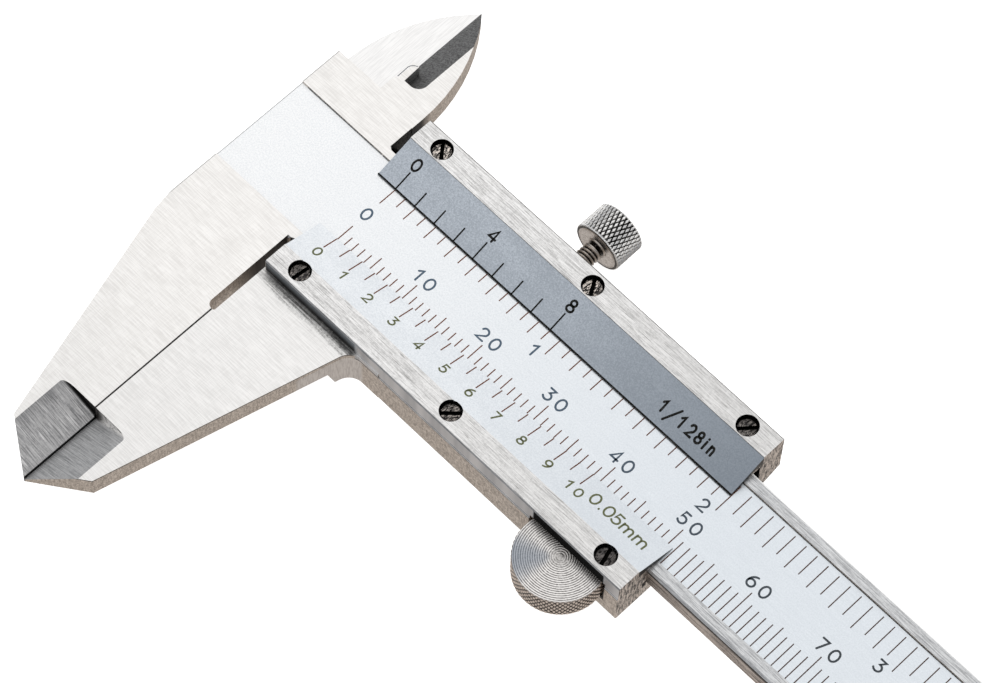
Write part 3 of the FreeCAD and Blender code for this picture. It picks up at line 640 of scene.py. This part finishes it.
def satin_plate(name, left_tone, right_tone, shade):
    """Blasted and plated: a fine even mottle, with painted light that fades along the plate, and painted
    shade on its end faces.
    """
    f = Finish(name)
    mottle = f.noise((5.6, 5.6, 5.6), detail=2.0, rough=0.8)
    wide = f.noise((0.12, 0.3, 0.3), detail=2.0)
    blend = f.blend(mottle, wide, 0.2)
    light_falloff = f.tones(f.ramp(f.x, 10.0, 60.0), left_tone, right_tone)
    colour = f.mix(f.fall(blend, 0.38, 0.64, 0.42), light_falloff, linear(*shade))
    end_shade = f.fall(f.flat, 0.4, 0.6)
    colour = f.mix(end_shade, colour, f.tones(f.ramp(mottle, 0.3, 0.7), (36, 34, 34), (74, 72, 70)))
    f.bump(mottle, 0.003)
    return f.paint(colour, f.ramp(blend, 0.2, 0.8, 0.50, 0.42))


def black_oxide(name):
    """Blackened steel; screwdriver marks show bright metal on the flats of the heads."""
    f = Finish(name)
    scratch = f.noise((5.0, 1.6, 3.0), detail=3.0, rough=0.65, distortion=1.6)
    patch = f.noise((1.1, 1.1, 1.1), detail=2.0)
    slot_top = SCREW_HEAD_TOP - 0.10
    # the inch plate's screws are the more used ones, and the right-hand ones the least
    used = f.all_of(f.ramp(f.y, -1.0, 1.0, 0.34, 1.0), f.ramp(f.x, 38.0, 46.0, 1.0, 0.20))
    worn = f.all_of(f.ramp(scratch, 0.50, 0.57), f.ramp(patch, 0.34, 0.50), used,
                    f.ramp(f.nz, 0.90, 0.97), f.ramp(f.z, slot_top - 0.05, slot_top + 0.05))
    base = f.tones(f.ramp(scratch, 0.35, 0.65), (20, 19, 19), (86, 83, 82))
    # painted shade: a dark ring at the edge of each head
    for centre in SCREW_CENTRES:
        out = f.radius(centre, "z")
        rim = f.all_of(f.ramp(out, 0.98, 1.16), f.fall(out, COUNTERBORE_R, COUNTERBORE_R + 0.02))
        base = f.mix(rim, base, linear(12, 11, 11))
        worn = f.all_of(worn, f.math("SUBTRACT", 1.0, rim))
    # painted shade: the slots are black
    slot = f.all_of(f.fall(f.z, slot_top - 0.05, slot_top + 0.05), f.ramp(f.z, 6.0, 6.1))
    colour = f.mix(worn, base, linear(228, 218, 208))
    f.bump(scratch, 0.015)
    return f.paint(f.mix(slot, colour, linear(7, 7, 7)), f.ramp(scratch, 0.3, 0.7, 0.44, 0.28))


def turned_metal(name, dark, light, scale):
    """Plated or drawn metal with a fine mottle and slight stains."""
    f = Finish(name)
    mottle = f.noise((scale, scale, scale), detail=4.0, rough=0.7)
    stain = f.noise((0.5, 0.5, 0.5), detail=2.0)
    blend = f.blend(mottle, stain, 0.4)
    f.bump(mottle, 0.006)
    return f.paint(f.tones(f.ramp(blend, 0.35, 0.65), dark, light), f.ramp(blend, 0.3, 0.7, 0.36, 0.22))


def grooved_metal(name, centre, along, valley, crest, dark, light, floor=0.0):
    """Metal with painted shade in its grooves and painted highlights on its crests, told apart by distance
    from its axis.
    Inside the radius floor the surface is an end face with a light mottle. Returns the finish, its
    colour, its mottle and the distance from the axis, for more layers."""
    f = Finish(name)
    mottle = f.noise((4.5, 4.5, 4.5), detail=4.0, rough=0.75)
    out = f.radius(centre, along)
    height = f.math("ADD", f.ramp(out, valley, crest), f.ramp(mottle, 0.3, 0.7, -0.34, 0.34))
    colour = f.tones(f.ramp(height, 0.0, 1.0), dark, light)
    face = f.fall(out, floor - 0.03, floor + 0.03)
    colour = f.mix(face, colour, f.tones(f.ramp(mottle, 0.25, 0.75), (176, 170, 165), (238, 234, 230)))
    f.bump(mottle, 0.004)
    return f, colour, mottle, out


def roller_metal():
    """Turned rings on the end face painted as light and dark rings, with a painted bluish reflection in one
    sector; knurled rim.
    """
    centre, radius = middle_and_radius(ROLLER_LOW, ROLLER_HIGH)
    f, colour, mottle, out = grooved_metal("roller_metal", centre, "z", radius - 0.12, radius - 0.02,
                                           (30, 26, 24), (240, 228, 218), radius - 0.22)
    wave = f.math("SINE", f.math("MULTIPLY", out, 2 * math.pi / RING_PITCH))
    ring = f.math("ADD", wave, f.ramp(mottle, 0.3, 0.7, -0.5, 0.5))
    rings = f.tones(f.ramp(ring, -1.1, 0.7), (108, 105, 104), (236, 233, 230))
    sector_reflection = f.tones(f.ramp(ring, -1.1, 0.9), (112, 117, 124), (164, 168, 175))
    # painted reflection: the sector opens towards the lower left of the scale face
    across = f.math("ADD", f.math("MULTIPLY", f.math("SUBTRACT", f.x, centre[0]), -0.69),
                    f.math("MULTIPLY", f.math("SUBTRACT", f.y, centre[1]), -0.72))
    sector = f.ramp(f.math("DIVIDE", across, f.math("ADD", out, 0.2)), 0.72, 0.97)
    rings = f.mix(f.all_of(sector, f.ramp(out, 0.3, 1.5)), rings, sector_reflection)
    middle = f.tones(f.ramp(mottle, 0.3, 0.7), (146, 143, 141), (204, 201, 198))
    rings = f.mix(f.fall(out, 0.2, 1.8, 0.85), rings, middle)
    on_face = f.all_of(f.ramp(f.z, ROLLER_HIGH[2] - 0.18, ROLLER_HIGH[2] - 0.15),
                       f.fall(out, radius - 0.10, radius - 0.05))
    return f.paint(f.mix(on_face, colour, rings), f.ramp(mottle, 0.3, 0.7, 0.36, 0.24))


def knob_metal():
    """Knurled rim with painted shade, darker on its right and lower side and a little on the opposite one.
    """
    centre, radius = middle_and_radius(KNOB_LOW, KNOB_HIGH)
    f, colour, mottle, out = grooved_metal("knob_metal", centre, "y", radius - 0.16, radius - 0.08,
                                           (34, 32, 31), (255, 254, 252), radius - 0.40)
    across = f.math("SUBTRACT", f.math("SUBTRACT", f.x, centre[0]), f.math("SUBTRACT", f.z, centre[2]))
    on_rim = f.ramp(out, radius - 0.40, radius - 0.34)
    lee_shade = f.all_of(f.ramp(across, 0.2, 3.8, 0.0, 0.50), on_rim)
    far_side_shade = f.all_of(f.fall(across, -3.8, -1.6, 0.15), on_rim)
    colour = f.mix(lee_shade, colour, linear(66, 57, 51))
    colour = f.mix(far_side_shade, colour, linear(120, 116, 112))
    return f.paint(colour, f.ramp(mottle, 0.3, 0.7, 0.36, 0.22))


def stud_metal():
    centre, radius = middle_and_radius(STUD_LOW, STUD_HIGH)
    f, colour, mottle, _ = grooved_metal("stud_metal", centre, "y", radius - 0.20, radius - 0.05,
                                         (8, 7, 7), (196, 189, 182))
    return f.paint(colour, f.ramp(mottle, 0.3, 0.7, 0.36, 0.22))


def ink(name, near, far):
    """Etched and filled lines, and painted shade lines; their colour drifts along the beam."""
    f = Finish(name, metallic=0.0)
    fleck = f.noise((7.0, 7.0, 7.0), detail=2.0)
    along = f.tones(f.ramp(f.x, 20.0, 75.0), near, far)
    lighter = f.mix(0.08, along, linear(200, 200, 200))
    f.bump(fleck, 0.004)
    f.shader.inputs["Specular IOR Level"].default_value = 0.1
    return f.paint(f.mix(f.ramp(fleck, 0.45, 0.75), along, lighter), f.ramp(fleck, 0.3, 0.7, 0.60, 0.45))


chrome_plate = satin_plate("satin_chrome_plate", (243, 246, 249), (226, 231, 236), (204, 210, 216))
grey_plate = satin_plate("grey_chrome_plate", (202, 209, 217), (149, 157, 166), (124, 132, 141))
black_screws = black_oxide("black_screws")
bronze = turned_metal("bronze", (128, 92, 56), (196, 152, 104), 3.0)
bright_steel = turned_metal("bright_steel", (176, 174, 171), (232, 230, 227), 4.0)
spring_steel = turned_metal("spring_steel", (120, 120, 124), (168, 168, 170), 3.0)
roller_finish, knob_finish, stud_finish = roller_metal(), knob_metal(), stud_metal()

NODE_FINISH = {
    "beam": steel_for_beam(), "slider_body": steel_for_slider(), "end_stop_plate": steel_plain(),
    "metric_vernier_plate": chrome_plate, "inch_vernier_plate": grey_plate,
    "metric_plate_screws": black_screws, "inch_plate_screws": black_screws,
    "end_stop_screws": black_screws, "gib_adjusting_screws": black_screws,
    "holder_screws": black_screws, "roller_arm_screws": black_screws, "lock_stud": stud_finish,
    "gib_strip": bronze, "lock_pad": bronze, "roller_spacer": bronze,
    "depth_rod": bright_steel, "depth_rod_holder": bright_steel, "depth_rod_rivets": bright_steel,
    "roller_axle": bright_steel, "roller_arm": spring_steel,
    "thumb_roller": roller_finish, "lock_knob": knob_finish,
}
for node, finish in NODE_FINISH.items():
    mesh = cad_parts[node].data
    mesh.materials.clear()
    mesh.materials.append(finish)


# ---- knurled, turned and threaded pieces ---------------------------------------------------

def groove(phase, half_width):
    """1 in the middle of a V groove that repeats once per unit of phase, 0 outside it."""
    return max(0.0, 1.0 - abs(phase % 1.0 - 0.5) / half_width)


def knurl(rim, low, high, starts, pitch, depth, half_width):
    """Radius change of a diamond knurl on the rim between two heights; it is shallower at both ends."""
    def change(angle, radius, height):
        if radius < rim or not low <= height <= high:
            return 0.0
        turn = starts * angle / (2 * math.pi)
        cut = max(groove(turn + height / pitch, half_width), groove(turn - height / pitch, half_width))
        fade = min(1.0, (height - low) / 0.1 + 0.4, (high - height) / 0.1 + 0.4)
        return -depth * cut * fade
    return change


def make_roller():
    """Knurled disc with turned rings on its face and a blind bore for the axle."""
    centre, radius = middle_and_radius(ROLLER_LOW, ROLLER_HIGH)
    back, top = ROLLER_LOW[2], ROLLER_HIGH[2]
    edge, bore, bore_top, ring_depth = 0.10, 1.25, top - 0.7, 0.018
    low, high = back + edge, top - edge
    profile = [(0.0, bore_top), (bore, bore_top), (bore, back), (radius - edge, back)]
    profile += [(radius, h) for h in np.linspace(low, high, 26)]
    profile.append((radius - edge, top))
    rings = int((radius - edge) / RING_PITCH - 0.3)
    for ring in range(rings, 1, -1):
        profile += [((ring + 0.25) * RING_PITCH, top), ((ring - 0.25) * RING_PITCH, top - ring_depth)]
    profile += [(RING_PITCH, top), (0.0, top)]
    place = lambda u, v, h: (centre[0] + u, centre[1] + v, h)
    segments = ROLLER_KNURL["starts"] * 8
    verts, faces = revolve(profile, segments, place, knurl(radius, low, high, **ROLLER_KNURL))
    piece = add_piece("thumb_roller_knurled", verts, faces, roller_finish, "thumb_roller")
    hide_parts("thumb_roller")


def make_knob():
    """Knurled head with a turned groove in the end that faces the slider, around the stud's bore."""
    centre, radius = middle_and_radius(KNOB_LOW, KNOB_HIGH)
    near, far = KNOB_LOW[1], KNOB_HIGH[1]
    edge, bore, bore_end = 0.12, 1.21, far - 1.2
    low, high = near + 0.16, far - 0.10
    profile = [(0.0, bore_end), (bore, bore_end), (bore, near + 0.15), (bore + 0.24, near),
               (radius - 0.62, near), (radius - 0.52, near + 0.05), (radius - 0.42, near),
               (radius - edge, near + 0.02)]
    profile += [(radius, h) for h in np.linspace(low, high, 40)]
    profile += [(radius - edge, far - 0.02), (radius - 0.4, far), (radius * 0.5, far), (0.0, far)]
    place = lambda u, v, h: (centre[0] + v, h, centre[2] + u)
    segments = KNOB_KNURL["starts"] * 12
    verts, faces = revolve(profile, segments, place, knurl(radius, low, high, **KNOB_KNURL))
    piece = add_piece("lock_knob_knurled", verts, faces, knob_finish, "lock_screw")
    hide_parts("lock_knob")


def make_stud():
    """Screw thread with a plain neck before the knob."""
    centre, radius = middle_and_radius(STUD_LOW, STUD_HIGH)
    start, end = STUD_LOW[1], STUD_HIGH[1]
    neck = KNOB_LOW[1] - 0.6
    heights = np.arange(start + 0.25, neck, THREAD_PITCH / 8)
    profile = [(0.0, start), (radius - 0.25, start)] + [(radius, h) for h in heights]
    profile += [(radius - 0.28, neck + 0.08), (radius - 0.28, neck + 0.5), (radius, neck + 0.6),
                (radius, end), (0.0, end)]

    def thread(angle, _, height):
        if not heights[0] <= height <= heights[-1]:
            return 0.0
        fade = min(1.0, (height - heights[0]) / 0.3, (heights[-1] - height) / 0.3)
        return -THREAD_DEPTH * groove(height / THREAD_PITCH - angle / (2 * math.pi), 0.5) * fade

    place = lambda u, v, h: (centre[0] + v, h, centre[2] + u)
    verts, faces = revolve(profile, 72, place, thread)
    piece = add_piece("lock_stud_threaded", verts, faces, stud_finish, "lock_screw",
                      smooth=True)
    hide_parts("lock_stud")


make_roller()
make_knob()
make_stud()


# ---- scales ---------------------------------------------------------------------------------

def scale_face(_):
    return SCALE_FACE


def plate_face(tip_y, top):
    """Surface of an inclined vernier plate, as a function that gives its height at y."""
    tip = abs(tip_y)
    slope = (top - PLATE_TIP_TOP) / (WINDOW_HALF - tip)
    return lambda y: PLATE_TIP_TOP + slope * (abs(y) - tip)


brown_ink = ink("brown_ink", (102, 52, 22), (72, 53, 46))
slate_ink = ink("slate_ink", (80, 96, 112), (62, 67, 72))
olive_ink = ink("olive_ink", (98, 102, 72), (98, 102, 72))
black_ink = ink("black_ink", (7, 7, 3), (7, 7, 3))
shade_line_paint = ink("shade_line_paint", (96, 102, 108), (30, 30, 32))


def metric_main_scale():
    """1 mm divisions along the lower rail; each figure stands over its line."""
    ticks, figures = Marks(scale_face), Marks(scale_face)
    for i in range(151):
        inner_end = -1.97 if i % 10 == 0 else -2.45 if i % 5 == 0 else -2.98
        ticks.tick(ZERO_X + i, -6.38, inner_end, MAIN_LINE)
        if i and i % 10 == 0:
            text = str(i)
            spacing = 1.78 if len(text) == 2 else 1.45
            places = [(k - (len(text) - 1) / 2) * spacing for k in range(len(text))]
            figures.write(text, [ZERO_X + i + place for place in places], -1.62, MAIN_FIGURE, MAIN_STROKE)
    figures.write("0", [ZERO_X], -0.55, MAIN_FIGURE, MAIN_STROKE)
    ticks.finish("metric_main_ticks", brown_ink, "beam")
    figures.finish("metric_main_figures", slate_ink, "beam")


def inch_main_scale():
    """Divisions of 1/16 inch along the upper rail; each figure stands left of its line."""
    ticks, figures = Marks(scale_face), Marks(scale_face)
    for i in range(97):
        inner_end = 2.15 if i % 16 == 0 else 2.62 if i % 2 == 0 else 3.12
        x = ZERO_X + i * INCH_STEP
        ticks.tick(x, inner_end, 5.95, MAIN_LINE)
        if i and i % 16 == 0:
            figures.write(str(i // 16), [x - 1.3], 0.95, 1.40, MAIN_STROKE)
    ticks.finish("inch_main_ticks", brown_ink, "beam")
    figures.finish("inch_main_figures", slate_ink, "beam")


def metric_vernier():
    """20 divisions over 39 mm, figures 0 to 10 and the reading."""
    surface = plate_face(METRIC_HIGH[1], METRIC_HIGH[2])
    ticks, figures = Marks(surface), Marks(surface)
    for i in range(21):
        x = ZERO_X + i * METRIC_VERNIER_STEP
        outer_end = -6.25 if i % 2 == 0 else -5.75
        ticks.tick(x, outer_end, METRIC_HIGH[1] - 0.03, METRIC_VERNIER_LINE)
        if i % 2 == 0:
            text = str(i // 2)
            places = [0.05] if len(text) == 1 else [-0.78, 0.72]
            figures.write(text, [x + place for place in places], -7.78, 1.12, 0.21)
    figures.write("0.05mm", [44.62, 45.68, 46.62, 47.85, 49.4, 51.3], -7.05, 1.42, 0.23)
    ticks.finish("metric_vernier_ticks", brown_ink, "slider")
    figures.finish("metric_vernier_figures", olive_ink, "slider")


def inch_vernier():
    """8 divisions over 15/16 inch, figures 0, 4 and 8, the reading, and a line along the plate's tip."""
    tip = INCH_LOW[1]
    surface = plate_face(tip, INCH_HIGH[2])
    marks, edge_line = Marks(surface), Marks(surface)
    for i in range(9):
        x = ZERO_X + i * INCH_VERNIER_STEP
        marks.tick(x, tip + 0.1, 6.7 if i % 4 == 0 else 6.25, INCH_VERNIER_LINE)
        if i % 4 == 0:
            nudge = 0.02 if i else 0.0
            marks.write(str(i), [x + nudge], 7.08, 1.30, 0.26)
    marks.write("/", [43.4], 5.82, 1.36, 0.26)
    marks.write("1128in", [41.92, 44.61, 46.08, 47.28, 48.21, 49.16], 5.94, 1.24, 0.28, squeeze=0.82)
    edge_line.line([(INCH_LOW[0] + 0.02, tip + 0.10), (INCH_HIGH[0] - 0.02, tip + 0.10)], 0.19)
    marks.finish("inch_vernier_marks", black_ink, "slider")
    edge_line.finish("inch_plate_edge_line", black_ink, "slider")


def border_lines():
    """Painted shade lines along the edges of the satin band, and along the short rounded outline beside the
    inside jaws.
    """
    line = Marks(scale_face)
    line.line([(-0.75, 6.43), (BEAM_RIGHT - 0.1, 6.43)], 0.10)
    line.finish("rail_shade_line", shade_line_paint, "beam")
    head = Marks(scale_face)
    head.line([(-12.6, 6.44), (-1.0, 6.44)], 0.09)
    head.line([(-12.6, -6.46), (-1.1, -6.46)], 0.04)
    head.finish("head_border_shade_lines", shade_line_paint, "beam")
    seam = Marks(lambda _: BEAM_FRONT)
    seam.line([(-6.72, 14.5), (-6.76, 16.1), (-6.66, 16.42), (-6.4, 16.7), (-6.05, 16.92)], 0.09)
    seam.finish("inside_jaw_seam_shade", shade_line_paint, "beam")


metric_main_scale()
inch_main_scale()
metric_vernier()
inch_vernier()
border_lines()


# ---- stage ----------------------------------------------------------------------------------

def make_floor():
    """Pale matt paper just under the slider's back."""
    f = Finish("floor_paper", metallic=0.0)
    tone = f.noise((0.01, 0.01, 0.01), detail=2.0)
    f.paint(f.tones(f.ramp(tone, 0.3, 0.7), (250, 250, 250), (253, 253, 253)), 0.9)
    f.shader.inputs["Specular IOR Level"].default_value = 0.0
    f.shader.inputs["Emission Color"].default_value = (1, 1, 1, 1)
    f.shader.inputs["Emission Strength"].default_value = 0.7
    half, drop = 3.0, -0.02 * MM
    mesh = bpy.data.meshes.new("floor")
    mesh.from_pydata([(-half, -half, 0), (half, -half, 0), (half, half, 0), (-half, half, 0)], [],
                     [(0, 1, 2, 3)])
    mesh.materials.append(f.material)
    floor = bpy.data.objects.new("floor", mesh)
    floor.location.z = drop
    floor.visible_glossy = False
    bpy.context.scene.collection.objects.link(floor)


def make_world():
    """Even white light for the floor; metal reflects a bright strip overhead and darker sides."""
    world = bpy.data.worlds.new("studio")
    bpy.context.scene.world = world
    world.use_nodes = True
    tree = world.node_tree
    tree.nodes.clear()

    def node(kind, **settings):
        made = tree.nodes.new(kind)
        for key, value in settings.items():
            setattr(made, key, value)
        return made

    def mix(share, a, b):
        made = node("ShaderNodeMix", data_type="RGBA")
        for socket, value in ((made.inputs[0], share), (made.inputs[6], a), (made.inputs[7], b)):
            if isinstance(value, bpy.types.NodeSocket):
                tree.links.new(value, socket)
            else:
                socket.default_value = value
        return made.outputs[2]

    def step(value, low, high):
        made = node("ShaderNodeMapRange", interpolation_type="SMOOTHSTEP")
        tree.links.new(value, made.inputs["Value"])
        made.inputs["From Min"].default_value = low
        made.inputs["From Max"].default_value = high
        return made.outputs["Result"]

    axes = node("ShaderNodeSeparateXYZ")
    tree.links.new(node("ShaderNodeTexCoord").outputs["Generated"], axes.inputs[0])
    x, y, z = axes.outputs
    below, dark, edge = (0.60, 0.56, 0.53, 1), (0.13, 0.13, 0.135, 1), (0.50, 0.49, 0.48, 1)
    side, ceiling, front = (0.40, 0.41, 0.43, 1), (1.10, 1.10, 1.10, 1), (0.62, 0.63, 0.65, 1)
    strip = mix(step(x, -0.85, -0.60), side, ceiling)
    strip = mix(step(x, 0.05, 0.50), strip, side)
    strip = mix(step(y, -0.75, 0.05), front, strip)
    horizon = mix(step(x, -0.85, -0.60), dark, edge)
    lower = mix(step(z, -0.60, -0.25), below, horizon)
    glossy = mix(step(z, 0.02, 0.30), lower, strip)
    path = node("ShaderNodeLightPath")
    colour = mix(path.outputs["Is Glossy Ray"], (1.0, 1.0, 1.0, 1), glossy)
    background = node("ShaderNodeBackground")
    tree.links.new(colour, background.inputs["Color"])
    output = node("ShaderNodeOutputWorld")
    tree.links.new(background.outputs[0], output.inputs["Surface"])


def make_key_light():
    """Soft disc from the upper left that metal doesn't mirror; metres and watts."""
    place, aim = Vector((-0.12, 0.22, 0.55)), Vector((0.03, 0.0, 0.0))
    data = bpy.data.lights.new("key", "AREA")
    data.shape = "DISK"
    data.size = 0.30
    data.energy = 0.25
    light = bpy.data.objects.new("key", data)
    light.location = place
    light.rotation_mode = "QUATERNION"
    light.rotation_quaternion = (aim - place).to_track_quat("-Z", "Y")
    light.visible_glossy = False
    bpy.context.scene.collection.objects.link(light)


def make_camera():
    """The photograph's view, as solved from the scale's divisions."""
    data = bpy.data.cameras.new("camera")
    data.sensor_width = 36.0
    data.lens = 155.275
    data.clip_start, data.clip_end = 0.01, 10.0
    camera = bpy.data.objects.new("camera", data)
    camera.location = Vector((162.411, -150.212, 419.404)) * MM
    camera.rotation_mode = "QUATERNION"
    camera.rotation_quaternion = Quaternion((0.89782804, 0.21332471, 0.07707007, 0.37743553))
    bpy.context.scene.collection.objects.link(camera)
    bpy.context.scene.camera = camera


make_floor()
make_world()
make_key_light()
make_camera()
bpy.context.scene.view_settings.view_transform = "Standard"
